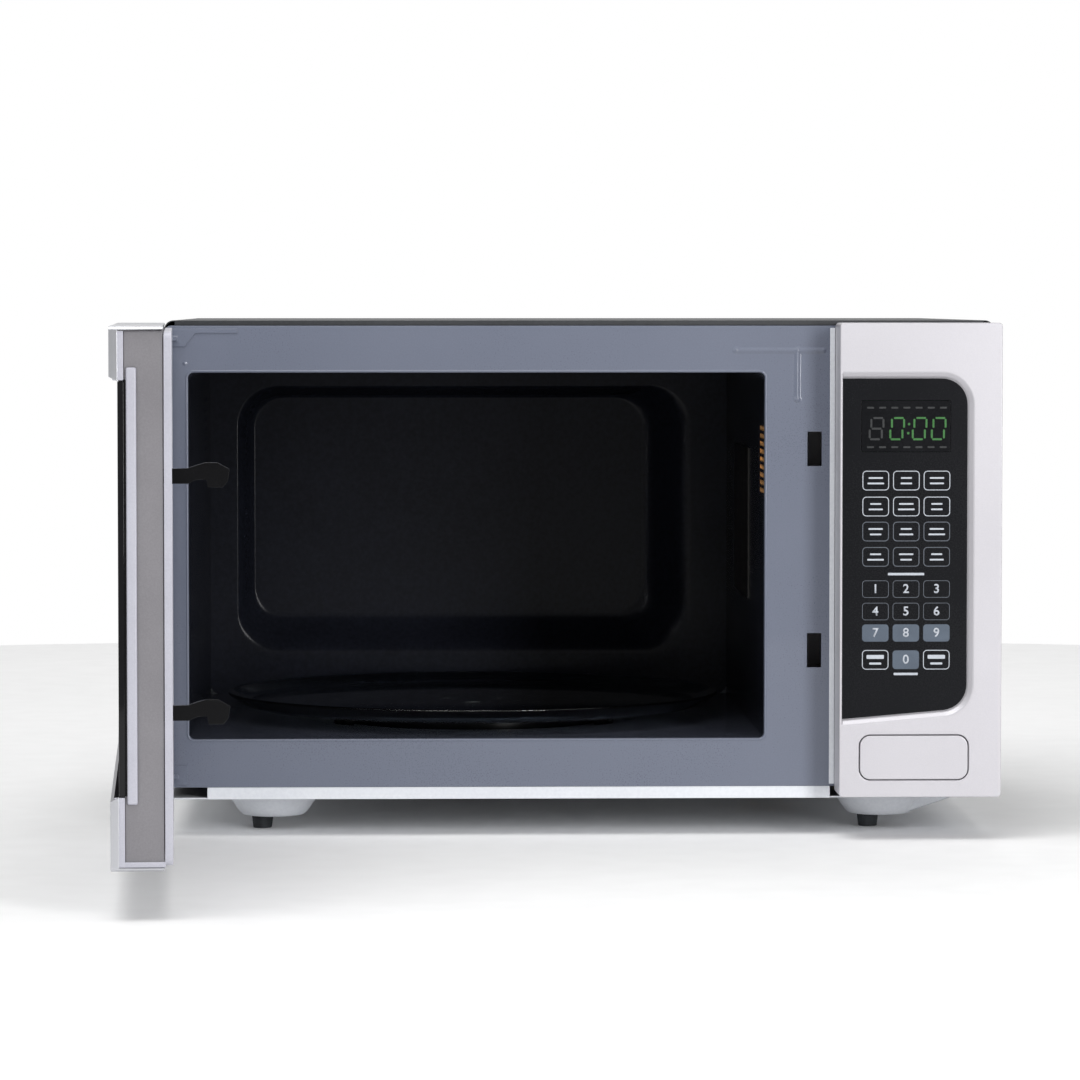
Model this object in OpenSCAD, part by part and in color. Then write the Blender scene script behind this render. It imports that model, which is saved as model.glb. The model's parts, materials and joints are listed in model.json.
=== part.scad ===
// Countertop microwave oven with a side-hung door, drawn with the door standing open.
// Millimetres, +Z up. The front faces -Y. Sizes below are written from the middle of the cabinet,
// on the surface its feet stand on; placed() then centres the whole object on the origin.

/* [Cabinet] */
// Width of the door and control panel together
front_width = 554; // [550:1:560]
// Width of the painted cover
cover_width = 551; // [547:1:551]
// Depth from the front plate to the rear panel
body_depth = 420; // [418:1:440]
// Height of the cover's top above the surface
total_height = 343.5; // [343:0.5:350]
// Height of the base plate's underside above the surface
base_height = 25; // [24:0.5:26]
// Sheet thickness of the cover, base and rear panel
sheet = 0.8; // [0.6:0.1:1]

/* [Cavity] */
// Inside width of the cooking cavity
cavity_width = 383; // [376:1:386]
// Inside height of the cooking cavity
cavity_height = 244; // [238:1:245]
// Depth from the front plate to the cavity's rear wall
cavity_depth = 380; // [376:1:384]
// Depth of the pocket pressed into the rear wall
pocket_depth = 18; // [10:1:20]

/* [Turntable] */
// Radius of the glass tray
tray_radius = 172.5; // [160:0.5:174]
// Radius of each roller
roller_radius = 6.5; // [6:0.1:6.6]
// Radius at which the rollers run
roller_track = 103; // [98:1:106]

/* [Door] */
// How far the door stands open
door_open = 87.4; // [80:0.2:92]
// Thickness of the door from its face to its inner lip
door_thickness = 36; // [35:1:37]
// Travel of the door release button
button_travel = 6; // [4:0.5:7]

/* [Hidden] */
$fn = 48;

// Where the cabinet's middle lies in the finished frame
place_x = 15;
place_y = 218;

// Main planes
front_y = -body_depth / 2;
rear_y = body_depth / 2;
front_half = front_width / 2;
cover_half = cover_width / 2;
plate_t = 1.2;
plate_half = cover_half - sheet - 0.2;
plate_bottom = 33;
plate_top = total_height - 3.5;
face_top = total_height - 1.5;
face_bottom = 29;
hem = 3.2;
colour_black = [0.12, 0.12, 0.13];
colour_slate = [0.45, 0.48, 0.56];
colour_steel = [0.75, 0.76, 0.78];
colour_dark = [0.08, 0.08, 0.09];
colour_grey = [0.55, 0.55, 0.57];
colour_light = [0.86, 0.87, 0.89];

// Cooking cavity
cavity_left = -260;
cavity_right = cavity_left + cavity_width;
cavity_bottom = 65;
cavity_top = cavity_bottom + cavity_height;
cavity_back = front_y + cavity_depth;
cavity_t = 1;
cavity_mid_x = (cavity_left + cavity_right) / 2;
cavity_mid_y = (front_y + cavity_back) / 2;
cavity_corner = 8;
pocket_outer = [-240.5, 97, 94, 294];
pocket_inner = [-227, 60, 124, 284];
pocket_outer_r = 30;
pocket_inner_r = 22;

// Turntable
well_depth = 6;
well_top = cavity_bottom - well_depth;
well_radius = 119;
axle_z = well_top + 0.1 + roller_radius;
axle_r = 2;
roller_bore = 2.06;
roller_width = 7;
tray_bottom = axle_z + roller_radius + 0.2;
tray_rim_z = 83;
shaft_r = 3.5;

// Right wall fittings
lamp_y = [front_y + 5, front_y + 59];
lamp_z = [224, 276];
lamp_x = cavity_right + 12;
grille_pitch = 5.2;
grille_holes = 9;
guide_y = [-70, 120];
guide_z = [150, 254];
guide_x = 155;
mica_y = [-70, 70];

// Control panel
panel_left = 169.8;
panel_t = 2.5;
panel_face = front_y - 37;
recess_floor = panel_face + 3;
keypad_left = 171.6;
keypad_right = 254.1;
keypad_top = 305.4;
keypad_low_left = 80.7;
keypad_low_right = 86.5;
keypad_r = 17;
bevel = 4.2;
display_x = [184, 243];
display_z = [257, 291];
button_mid = [219.2, 55.3];
button_size = [71.4, 29];
button_gap = 0.6;
button_r = 7;
rod_half = 4;
rod_end = front_y + 10;
spring_start = panel_face + 11.5;
spring_end = front_y - 3;

// Door, drawn closed and then turned about its hinge
hinge_x = -273;
hinge_y = front_y - 4;
pin_r = 2;
ear_bore = 2.06;
ear_r = 3;
door_left = -front_half;
door_right = 168;
door_face = front_y - 1 - door_thickness;
door_lip = front_y - 1;
bezel_t = 2;
bezel_skirt = door_face + 24;
glass_face = door_face + 5;
glass_t = 3.5;
glass_back = glass_face + glass_t;
frame_back = front_y - 6;
glass_bottom = 72;
glass_top = 310.5;
glass_left = -234;
frame_left = -261;
frame_right = 166;
screen_x = [-214, 118];
screen_z = [84, 294];
lip_front = front_y - 5.7;

// Latch
hook_x = 156.2;
hook_t = 5;
hook_levels = [119.3, 255.8];
slot_w = 9.4;
slot_h = 22.8;
slot_levels = [123.7, 258];
hook_profile = [
  [0, 4.4], [9, 4.6], [14, 6.4], [19, 7.8], [26, 7.8], [33, 4], [32, -3], [29, -6.4],
  [20.5, -6.4], [19.5, -1.8], [14, -2], [9, -4.3], [0, -4.3]
];
strip_y = [front_y - 18, front_y - 9];
lever_pivot = [front_y + 12, 86];
lever_r = 3;
lever_bore = 3.06;

// Feet
foot_r = 7.4;
foot_h = 9;
well_x = 205.5;
well_y = [-150, 150];
well_r = 35;
well_flat = 19;
taper_end = 60;
foot_shift = -7.5;

// Rear right corner: fan
fan_mid = [205, 205];
fan_r = 52;
fan_y = [150, 182];

// A block between two corners
module block(x, y, z) {
  translate([x[0], y[0], z[0]]) cube([x[1] - x[0], y[1] - y[0], z[1] - z[0]]);
}

// A flat rectangle with round corners, between two corners
module round_rect(x, z, r) {
  translate([x[0] + r, z[0]]) square([x[1] - x[0] - 2 * r, z[1] - z[0]]);
  translate([x[0], z[0] + r]) square([x[1] - x[0], z[1] - z[0] - 2 * r]);
  for (cx = [x[0] + r, x[1] - r], cz = [z[0] + r, z[1] - r]) translate([cx, cz]) circle(r);
}

// Raises a flat X-Z shape from one Y plane to another
module upright(y) {
  translate([0, y[1], 0]) rotate([90, 0, 0]) linear_extrude(y[1] - y[0]) children();
}

// A rod along X, Y or Z from a point
module rod_x(p, r, l) translate(p) rotate([0, 90, 0]) cylinder(r = r, h = l);
module rod_y(p, r, l) translate(p) rotate([-90, 0, 0]) cylinder(r = r, h = l);
module rod_z(p, r, l) translate(p) cylinder(r = r, h = l);

// Sets the cabinet so that the whole object, its door as it stands, is centred on the origin
module placed() translate([place_x, place_y, 0]) children();

// Turns the door's parts from closed to where they stand
module hung() placed() translate([hinge_x, hinge_y, 0]) rotate([0, 0, -door_open])
  translate([-hinge_x, -hinge_y, 0]) children();

// A helical wire spring along +Y, wire radius w, coil radius r
function coil_point(t, r, l, turns) = [r * cos(360 * turns * t), l * t, r * sin(360 * turns * t)];
function coil_side(t, turns) = [cos(360 * turns * t), 0, sin(360 * turns * t)];
module coil(r, w, l, turns) {
  steps = turns * 12;
  sides = 6;
  rings = [
    for (i = [0 : steps], k = [0 : sides - 1])
      coil_point(i / steps, r, l, turns) + w * cos(60 * k) * coil_side(i / steps, turns)
      + [0, w * sin(60 * k), 0]
  ];
  walls = [
    for (i = [0 : steps - 1], k = [0 : sides - 1])
      [i * sides + k, i * sides + (k + 1) % sides, (i + 1) * sides + (k + 1) % sides, (i + 1) * sides + k]
  ];
  first = [for (k = [0 : sides - 1]) sides - 1 - k];
  last = [for (k = [0 : sides - 1]) steps * sides + k];
  polyhedron(rings, concat([first], walls, [last]), convexity = 10);
}

/* Cabinet */

// Painted steel sheet folded over the top and both sides, with a hem along its front
module cabinet_cover() color(colour_black) placed() {
  inner = cover_half - sheet;
  difference() {
    upright([front_y + 0.4, rear_y - 1]) difference() {
      round_rect([-cover_half, cover_half], [base_height + 2, total_height], 6);
      round_rect([-inner, inner], [base_height - 20, total_height - sheet], 6 - sheet);
      translate([-inner, base_height]) square([2 * inner, 8]);
    }
    for (row = [0 : 6], side = [-1, 1])
      block([side * cover_half - 3, side * cover_half + 3], [60, 130], [70 + row * 9, 73 + row * 9]);
  }
  block([-inner + 6, inner - 6], [front_y + 0.4, front_y + 6], [total_height - hem, total_height - sheet]);
}

module vent_rows(x, z, pitch, length) {
  for (vz = [z[0] : pitch : z[1]], vx = x) translate([vx, vz]) square([length, 4]);
}

// Rear sheet with air outlets, the fan inlet and the cord's hole
module rear_panel() color(colour_grey) placed() {
  difference() {
    upright([rear_y - 1, rear_y]) difference() {
      round_rect([-cover_half, cover_half], [base_height + 2, total_height], 5);
      vent_rows([-240, -200, -160], [250, 300], 9, 32);
      for (ring = [0 : 3], a = [0 : 20 : 340])
        translate([fan_mid[0], fan_mid[1]]) rotate(a) translate([16 + ring * 11, 0]) circle(d = 5, $fn = 16);
      translate([235, 110]) circle(r = 9);
    }
    for (x = [-262, 0, 262], z = [40, 330]) rod_y([x, rear_y - 4, z], 1.7, 8);
  }
  for (x = [-180, 20]) block([x, x + 22], [rear_y, rear_y + 9], [180, 202]);
}

// Outline of a foot well pressed down from the base plate, from its rim to its flat
function well_profile(z0, z1) = [
  for (i = [0 : 10])
    [well_r + (well_flat - well_r) * i / 10, z0 + (z1 - z0) * (1 - cos(18 * i)) / 2]
];

// A well's filled form: round, or with a long taper towards the right side
module foot_well(inset, taper) {
  low = foot_h + inset;
  rim = base_height + inset;
  rotate_extrude($fn = 64) polygon(concat([[0, base_height + 3], [0, low]],
    [for (i = [10 : -1 : 0]) well_profile(rim, low)[i] - [inset / 2, 0]],
    [[well_r - inset / 2, base_height + 3]]));
  if (taper) hull() {
    rod_z([4, 0, low + 0.2], well_flat - 4 - inset, 1);
    rod_z([6, 0, rim], well_r - 12 - inset, 0.6);
    rod_z([taper_end, 0, rim - 0.4], 5 - inset, 1);
  }
}

// Base pan: vented sheet, front lip and four wells that carry the feet
module base_plate() color(colour_light) placed() {
  difference() {
    union() {
      block([-273.5, 273.5], [front_y + 2, rear_y - 2], [base_height, base_height + 1]);
      for (sx = [-1, 1], wy = well_y) translate([sx * well_x, wy, 0])
        intersection() {
          foot_well(0, sx > 0);
          rod_z([0, 0, 0], 120, base_height + 1);
        }
      block([-248, 167], [front_y + 0.4, front_y + 2], [base_height, plate_bottom]);
    }
    for (sx = [-1, 1], wy = well_y) translate([sx * well_x, wy, 0]) {
      foot_well(1, sx > 0);
      rod_z([foot_shift, 0, 0], 2.7, 20);
    }
    for (vx = [120 : 9 : 156]) block([vx, vx + 4], [-60, 40], [base_height - 1, base_height + 2]);
    for (vy = [20 : 10 : 90]) block([-120, -20], [vy, vy + 4], [base_height - 1, base_height + 2]);
  }
}

// Four rubber feet, each pushed up through its well
module feet() color(colour_dark) placed() {
  for (sx = [-1, 1], wy = well_y) translate([sx * well_x + foot_shift, wy, 0]) {
    cylinder(r1 = foot_r - 1.1, r2 = foot_r, h = foot_h);
    cylinder(r = 2.5, h = foot_h + 3);
    translate([0, 0, foot_h + 1.2]) cylinder(r1 = 4, r2 = 2.6, h = 3);
  }
}

// Six screws that hold the rear panel and cover
module cover_screws() color(colour_grey) placed() {
  for (x = [-262, 0, 262], z = [40, 330]) {
    rod_y([x, rear_y, z], 3.6, 1.8);
    rod_y([x, rear_y - 9, z], 1.5, 9.2);
  }
}

// Pressed groove, as a flat shape
module groove_line(a, b, w) {
  l = norm(b - a);
  translate(a) rotate(atan2(b[1] - a[1], b[0] - a[0])) {
    translate([0, -w / 2]) square([l, w]);
    circle(d = w);
    translate([l, 0]) circle(d = w);
  }
}

module plate_grooves(w) {
  groove_line([104, 323.5], [162, 323.5], w);
  groove_line([144.5, 323.5], [144.5, 291], w);
}

// Painted steel front plate round the cavity's mouth
module front_plate() color(colour_slate) placed() {
  difference() {
    union() {
      upright([front_y, front_y + plate_t]) difference() {
        round_rect([-plate_half, plate_half], [plate_bottom, plate_top], 3);
        round_rect([cavity_left, cavity_right], [cavity_bottom, cavity_top], 4);
        round_rect([178, 266], [42, 330], 4);
        for (z = slot_levels)
          translate([hook_x - slot_w / 2, z - slot_h / 2]) square([slot_w, slot_h]);
      }
      upright([front_y + 1, front_y + 2.4]) plate_grooves(7.2);
    }
    upright([front_y - 1, front_y + 1.4]) plate_grooves(5);
  }
}

/* Cavity */

// One sheet folded into the cavity's two sides and its ceiling
module cavity_wrapper() color(colour_dark) placed() {
  outer_x = [cavity_left - cavity_t, cavity_right + cavity_t];
  difference() {
    upright([front_y + plate_t, cavity_back]) difference() {
      round_rect(outer_x, [cavity_bottom - 10, cavity_top + cavity_t], cavity_corner + cavity_t);
      round_rect([cavity_left, cavity_right], [cavity_bottom - 30, cavity_top], cavity_corner);
      translate([outer_x[0] - 1, cavity_bottom - 20]) square([cavity_width + 5, 20]);
    }
    block([cavity_right - 2, cavity_right + 3],
      [lamp_y[0] + 2, lamp_y[1] - 2], [lamp_z[0] + 2, lamp_z[1] - 2]);
    block([cavity_right - 2, cavity_right + 3],
      [mica_y[0] + 8, mica_y[1] - 8], [guide_z[0] + 8, guide_z[1] - 8]);
    for (row = [0 : 5], col = [0 : 7])
      rod_x([cavity_left - 3, 60 + col * 7, 250 + row * 7], 2, 5);
  }
}

// Cavity floor with a round well for the roller ring and a hole for the drive
module cavity_floor() color(colour_dark) placed() {
  r_low = well_radius - well_depth;
  translate([cavity_mid_x, cavity_mid_y, 0]) rotate_extrude($fn = 96) polygon([
    [6, well_top], [r_low, well_top], [well_radius, cavity_bottom], [well_radius + 4, cavity_bottom],
    [well_radius + 4, cavity_bottom - 1], [well_radius + 0.4, cavity_bottom - 1],
    [r_low + 0.4, well_top - 1], [6, well_top - 1]
  ]);
  difference() {
    block([cavity_left - cavity_t, cavity_right + cavity_t], [front_y + plate_t, cavity_back],
      [cavity_bottom - 1, cavity_bottom]);
    rod_z([cavity_mid_x, cavity_mid_y, cavity_bottom - 4], well_radius + 4, 8);
  }
}

module pocket_slab(p, r, grow, y, t) {
  upright([y, y + t]) round_rect([p[0] - grow, p[1] + grow], [p[2] - grow, p[3] + grow], r + grow);
}

module pocket_form(grow, y0, y1) {
  hull($fn = 32) {
    pocket_slab(pocket_outer, pocket_outer_r, grow, y0, 0.1);
    pocket_slab(pocket_inner, pocket_inner_r, grow, y1 - 0.1, 0.1);
  }
}

// Rear wall with a shallow pocket pressed away from the cavity
module cavity_rear_wall() color(colour_dark) placed() {
  floor_y = cavity_back + pocket_depth;
  difference() {
    union() {
      upright([cavity_back, cavity_back + cavity_t]) round_rect(
        [cavity_left - cavity_t, cavity_right + cavity_t],
        [cavity_bottom - 1, cavity_top + cavity_t], cavity_corner
      );
      pocket_form(1, cavity_back + 0.5, floor_y + 1);
    }
    pocket_form(0, cavity_back - 0.1, floor_y);
  }
}

// Perforated steel patch that lets the lamp's light into the cavity
module lamp_grille() color(colour_grey) placed() {
  mid_y = (lamp_y[0] + lamp_y[1]) / 2;
  mid_z = (lamp_z[0] + lamp_z[1]) / 2;
  start = -(grille_holes - 1) / 2 * grille_pitch;
  difference() {
    block([cavity_right + cavity_t, cavity_right + cavity_t + 0.8], lamp_y, lamp_z);
    for (i = [0 : grille_holes - 1], k = [0 : grille_holes - 1])
      translate([cavity_right, mid_y + start + i * grille_pitch, mid_z + start + k * grille_pitch])
        rotate([0, 90, 0]) cylinder(d = 3.2, h = 5, $fn = 16);
  }
}

// Lamp box behind the grille
module lamp_housing() color(colour_light) placed() {
  x = [cavity_right + cavity_t + 0.8, cavity_right + 22];
  difference() {
    block(x, lamp_y, lamp_z);
    block([x[0] - 1, x[1] - 1.6], [lamp_y[0] + 2, lamp_y[1] - 2], [lamp_z[0] + 2, lamp_z[1] - 2]);
    rod_y([lamp_x, lamp_y[1] - 3, 250], 6, 4);
  }
}

// Small lamp, with its cap in the housing's rear wall
module lamp_bulb() color([0.95, 0.9, 0.7]) placed() translate([lamp_x, lamp_y[1], 250]) rotate([90, 0, 0])
  rotate_extrude() polygon([
    [0, -12], [6, -12], [6, 3], [8, 8], [8, 22], [6.5, 26], [3.5, 28.5], [0, 29]
  ]);

// Mica sheet over the mouth of the waveguide
module waveguide_cover() color([0.62, 0.58, 0.5]) placed() {
  upright_x = [cavity_right - 1.2, cavity_right - 0.2];
  difference() {
    block(upright_x, mica_y, guide_z);
    for (y = [mica_y[0] + 6, mica_y[1] - 6])
      rod_x([cavity_right - 3, y, (guide_z[0] + guide_z[1]) / 2], 2, 5);
  }
}

// Sheet-steel duct from the magnetron to the cavity's side
module waveguide() color(colour_light) placed() {
  x = [cavity_right + cavity_t, guide_x];
  difference() {
    block(x, guide_y, guide_z);
    block([x[0] - 1, x[1] - 1.2], [guide_y[0] + 1.2, guide_y[1] - 1.2], [guide_z[0] + 1.2, guide_z[1] - 1.2]);
    rod_x([x[1] - 4, 78, 202], 13, 8);
  }
}

/* Microwave source and cooling */

mag_x = [guide_x, 240];
mag_y = [36, 120];
mag_z = [156, 248];

// Pressed steel yoke, magnets and filter box round the magnetron's anode
module magnetron_yoke() color(colour_grey) placed() {
  difference() {
    block(mag_x, mag_y, mag_z);
    block([mag_x[0] + 3, mag_x[1] - 3], [mag_y[0] - 1, mag_y[1] + 1], [mag_z[0] + 3, mag_z[1] - 3]);
    rod_x([mag_x[0] - 1, 78, 202], 13, 8);
    rod_x([mag_x[1] - 5, 78, 202], 13, 8);
  }
  difference() {
    union() {
      rod_x([mag_x[0] + 3, 78, 202], 27, 12);
      rod_x([mag_x[1] - 15, 78, 202], 27, 12);
    }
    rod_x([mag_x[0] - 1, 78, 202], 13, 100);
  }
  block([mag_x[1], mag_x[1] + 22], [mag_y[0] + 12, mag_y[1] - 12], [mag_z[0] + 12, mag_z[1] - 12]);
}

// Stack of aluminium cooling fins on the anode
module magnetron_fins() color(colour_steel) placed() {
  for (i = [0 : 9])
    block([mag_x[0] + 18 + i * 5, mag_x[0] + 18.6 + i * 5], [mag_y[0] + 2, mag_y[1] - 2],
      [mag_z[0] + 6, mag_z[1] - 6]);
  rod_x([mag_x[0] + 15, 78, 202], 19, mag_x[1] - mag_x[0] - 30);
}

// Antenna dome that reaches into the waveguide
module magnetron_antenna() color(colour_light) placed() {
  rod_x([mag_x[0] - 20, 78, 202], 7, 35);
  rod_x([mag_x[0] + 3, 78, 202], 10, 12);
}

core_y = [-72, 18];

// Laminated iron core of the high-voltage transformer
module transformer_core() color(colour_dark) placed() {
  z = [base_height + 1, base_height + 75];
  difference() {
    block([162, 262], core_y, z);
    for (y = [core_y[0] + 18, core_y[1] - 36]) block([160, 264], [y, y + 18], [z[0] + 16, z[1] - 16]);
  }
}

// Two copper windings in the core's windows
module transformer_coils() color([0.6, 0.32, 0.15]) placed() {
  z = [base_height + 18, base_height + 58];
  for (x = [[170, 206], [218, 254]])
    for (y = [core_y[0] + 18.2, core_y[1] - 35.8]) block(x, [y, y + 17.6], z);
}

// Oval high-voltage capacitor standing on the base
module capacitor() color(colour_steel) placed() {
  translate([150, 150, base_height + 1]) linear_extrude(84) round_rect([0, 52], [-16, 16], 15.9);
  for (x = [165, 187]) block([x, x + 6], [149.2, 150.8], [base_height + 85, base_height + 95]);
}

// Strap that holds the capacitor to the base
module capacitor_clamp() color(colour_light) placed() {
  translate([150, 150, base_height + 31]) linear_extrude(14) difference() {
    round_rect([-1.2, 53.2], [-17.2, 17.2], 17);
    round_rect([-0.1, 52.1], [-16.1, 16.1], 16);
  }
  block([203.2, 216], [149, 151], [base_height + 31, base_height + 45]);
  block([214, 216], [140, 160], [base_height + 1, base_height + 31]);
}

// Moulded ring and spokes that carry the fan motor
module fan_shroud() color(colour_grey) placed() {
  difference() {
    block([fan_mid[0] - 60, fan_mid[0] + 60], [fan_y[0], rear_y - 1], [fan_mid[1] - 60, fan_mid[1] + 60]);
    rod_y([fan_mid[0], fan_y[0] - 1, fan_mid[1]], fan_r + 3, 80);
  }
  difference() {
    for (a = [0 : 90 : 270])
      translate([fan_mid[0], 0, fan_mid[1]]) rotate([0, a, 0])
        block([16, fan_r + 5], [fan_y[0], fan_y[0] + 5], [-3, 3]);
    rod_y([fan_mid[0], fan_y[0] - 1, fan_mid[1]], 15.8, 8);
  }
}

// Small motor behind the fan
module fan_motor() color(colour_dark) placed() {
  difference() {
    union() {
      rod_y([fan_mid[0], fan_y[0] - 26, fan_mid[1]], 22, 26);
      rod_y([fan_mid[0], fan_y[0], fan_mid[1]], 15.8, 6);
    }
    rod_y([fan_mid[0], fan_y[0] - 10, fan_mid[1]], 1.56, 20);
  }
}

// Fan hub with seven pitched blades on its spindle
module fan_blades() color([0.2, 0.2, 0.22]) placed() {
  translate([fan_mid[0], 0, fan_mid[1]]) {
    rod_y([0, fan_y[0] - 9, 0], 1.5, 16);
    rod_y([0, fan_y[0] + 7, 0], 13, 22);
    for (a = [0 : 360 / 7 : 359])
      rotate([0, a, 0]) translate([30, fan_y[0] + 18, 0]) rotate([38, 0, 0])
        cube([37, 1.6, 24], center = true);
  }
}

// Duct that carries the magnetron's warm air up and over to the cavity's side
module air_duct() color(colour_light) placed() {
  difference() {
    block([cavity_right + cavity_t, 250], [40, 118], [guide_z[1], 300]);
    block([cavity_right + cavity_t - 2, 248], [42, 116], [guide_z[1] + 2, 298]);
    block([guide_x + 12, 240], [50, 108], [guide_z[1] - 1, guide_z[1] + 3]);
  }
}

// Noise filter and fuse on a small circuit board, on posts from the rear panel
module filter_board() color([0.2, 0.45, 0.25]) placed() {
  y = rear_y - 9;
  block([150, 250], [y - 1.6, y], [276, 328]);
  for (x = [156, 244], z = [282, 322]) rod_y([x, y, z], 3, 8);
  for (x = [168, 192, 216]) rod_y([x, y - 20, 312], 9, 19);
  block([160, 230], [y - 11, y - 1.6], [280, 296]);
}

// Two button thermostats: one on the cavity's side, one on the air duct
module thermal_cutouts() color([0.75, 0.72, 0.66]) placed() {
  rod_x([cavity_right + cavity_t, 160, 280], 9, 10);
  rod_z([200, 79, 300], 9, 10);
}

// Rubber ring in the rear panel where the supply cord enters
module cord_gland() color(colour_dark) placed() {
  difference() {
    union() {
      rod_y([235, rear_y - 4, 110], 8.9, 8);
      rod_y([235, rear_y, 110], 12, 4);
      rod_y([235, rear_y - 4, 110], 12, 3);
    }
    rod_y([235, rear_y - 6, 110], 4, 14);
  }
}

/* Turntable */

module spun() translate([cavity_mid_x, cavity_mid_y, 0]) children();

// Flat synchronous motor under the floor
module turntable_motor() color(colour_steel) placed() {
  spun() difference() {
    union() {
      rod_z([0, 0, well_top - 22], 25, 21);
      for (a = [0, 180]) rotate(a) block([20, 36], [-7, 7], [well_top - 2.5, well_top - 1]);
    }
    rod_z([0, 0, 40], shaft_r + 0.06, 20);
    for (x = [-31, 31]) rod_z([x, 0, well_top - 10], 2, 12);
  }
}

// Drive shaft from the motor
module turntable_shaft() color(colour_light) placed() {
  spun() rod_z([0, 0, 41], shaft_r, 26);
}

// Three-armed drive piece under the glass
module turntable_coupler() color(colour_dark) placed() {
  spun() difference() {
    union() {
      rod_z([0, 0, well_top + 1], 12, tray_bottom - well_top - 1);
      for (a = [90, 210, 330]) rotate(a)
        block([0, 26], [-4.5, 4.5], [tray_bottom - 5, tray_bottom]);
    }
    rod_z([0, 0, well_top], shaft_r, 8);
  }
}

// Round glass tray with a low rim and three lugs that the coupler drives
module glass_tray() color([0.75, 0.85, 0.85, 0.4]) placed() {
  spun() {
    rotate_extrude($fn = 128) polygon([
      [0, tray_bottom], [tray_radius - 18, tray_bottom], [tray_radius - 9, tray_bottom + 2.6],
      [tray_radius - 1.5, tray_rim_z - 2.6], [tray_radius, tray_rim_z - 1], [tray_radius - 1, tray_rim_z],
      [tray_radius - 4, tray_rim_z - 0.8], [tray_radius - 11, tray_bottom + 6],
      [tray_radius - 20, tray_bottom + 4], [0, tray_bottom + 4]
    ]);
    for (a = [30, 150, 270]) rotate(a) block([15, 24], [-5, 5], [tray_bottom - 4, tray_bottom + 0.5]);
  }
}

// Plastic ring that keeps the three rollers apart
module roller_ring() color(colour_dark) placed() {
  inner = roller_track - 17;
  spun() {
    difference() {
      rod_z([0, 0, axle_z - 3], roller_track - 9, 6);
      rod_z([0, 0, axle_z - 5], inner, 10);
    }
    for (a = [90, 210, 330]) rotate(a) {
      rod_x([roller_track - 10, 0, axle_z], axle_r, 18);
      rod_x([roller_track + 5, 0, axle_z], 3, 2);
    }
  }
}

// One roller on its radial axle
module roller(a) color(colour_light) placed() {
  spun() rotate(a) difference() {
    rod_x([roller_track - roller_width / 2, 0, axle_z], roller_radius, roller_width);
    rod_x([roller_track - roller_width, 0, axle_z], roller_bore, 2 * roller_width);
  }
}

/* Hinges */

// Bracket plate on the front plate, arm and pin, for one end of the door
module hinge_bracket(outline, z_arm, z_pin) color(colour_slate) placed() {
  upright([front_y - 0.8, front_y]) polygon(outline);
  block([hinge_x - 2, hinge_x + 6], [hinge_y, front_y], [z_arm, z_arm + 3]);
  rod_z([hinge_x, hinge_y, z_arm], ear_r - 0.2, 3);
  rod_z([hinge_x, hinge_y, z_pin], pin_r, 14);
}

module upper_hinge() hinge_bracket(
  [[-275, 318], [-262, 318], [-255, 327], [-227, 327], [-227, 338], [-275, 338]],
  plate_top - 10, plate_top - 23
);
module lower_hinge() hinge_bracket(
  [[-275, 34.5], [-261, 34.5], [-261, 48], [-275, 48]],
  plate_bottom + 6, plate_bottom + 8
);

/* Control panel */

function arc(cx, cz, r, a0, a1, n) =
  [for (i = [0 : n]) [cx + r * cos(a0 + (a1 - a0) * i / n), cz + r * sin(a0 + (a1 - a0) * i / n)]];

// Outline of the black keypad, square at the left and round at the right
module keypad_outline(grow) {
  right = keypad_right + grow;
  top = keypad_top + grow;
  low = keypad_low_right - grow;
  r = keypad_r + grow;
  slope = atan2(keypad_low_right - keypad_low_left, keypad_right - keypad_left - keypad_r);
  polygon(concat(
    [[keypad_left, top]],
    arc(right - r, top - r, r, 90, 0, 10),
    arc(right - r, low + r, r, 0, slope - 90, 10),
    [[keypad_left, keypad_low_left - grow]]
  ));
}

module button_outline(grow) {
  round_rect(
    [button_mid[0] - button_size[0] / 2 - grow, button_mid[0] + button_size[0] / 2 + grow],
    [button_mid[1] - button_size[1] / 2 - grow, button_mid[1] + button_size[1] / 2 + grow],
    button_r + grow
  );
}

// Moulded control panel front: an open box with a sunk keypad field and the button's opening
module control_panel_housing() color(colour_steel) placed() {
  back = front_y - 0.6;
  difference() {
    upright([panel_face, back]) round_rect([panel_left, front_half], [face_bottom, face_top], 2.5);
    upright([recess_floor + panel_t, back + 1])
      round_rect([panel_left + panel_t, front_half - panel_t],
        [face_bottom + panel_t, face_top - panel_t], 1);
    hull() {
      upright([panel_face - 1, panel_face]) keypad_outline(bevel);
      upright([recess_floor - 0.1, recess_floor]) keypad_outline(0.3);
    }
    upright([panel_face - 1, recess_floor + panel_t + 1]) round_rect(display_x, display_z, 1);
    upright([recess_floor - 1, recess_floor + panel_t + 1]) round_rect([200, 226], [96, 110], 1);
    upright([panel_face - 1, recess_floor + panel_t + 1]) button_outline(button_gap);
  }
  difference() {
    upright([recess_floor + panel_t, panel_face + 16]) button_outline(3);
    upright([recess_floor, panel_face + 17]) button_outline(button_gap);
  }
  difference() {
    block([panel_left + 1, front_half - 1], [spring_end, back], [button_mid[1] - 11, button_mid[1] + 11]);
    block([button_mid[0] - rod_half - 0.6, button_mid[0] + rod_half + 0.6], [spring_end - 1, back + 1],
      [button_mid[1] - rod_half - 0.6, button_mid[1] + rod_half + 0.6]);
  }
}

// Glossy black keypad sheet
module keypad_overlay() color(colour_dark) placed() {
  upright([recess_floor - 1.4, recess_floor]) difference() {
    keypad_outline(0);
    round_rect(display_x, display_z, 1);
  }
}

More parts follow.
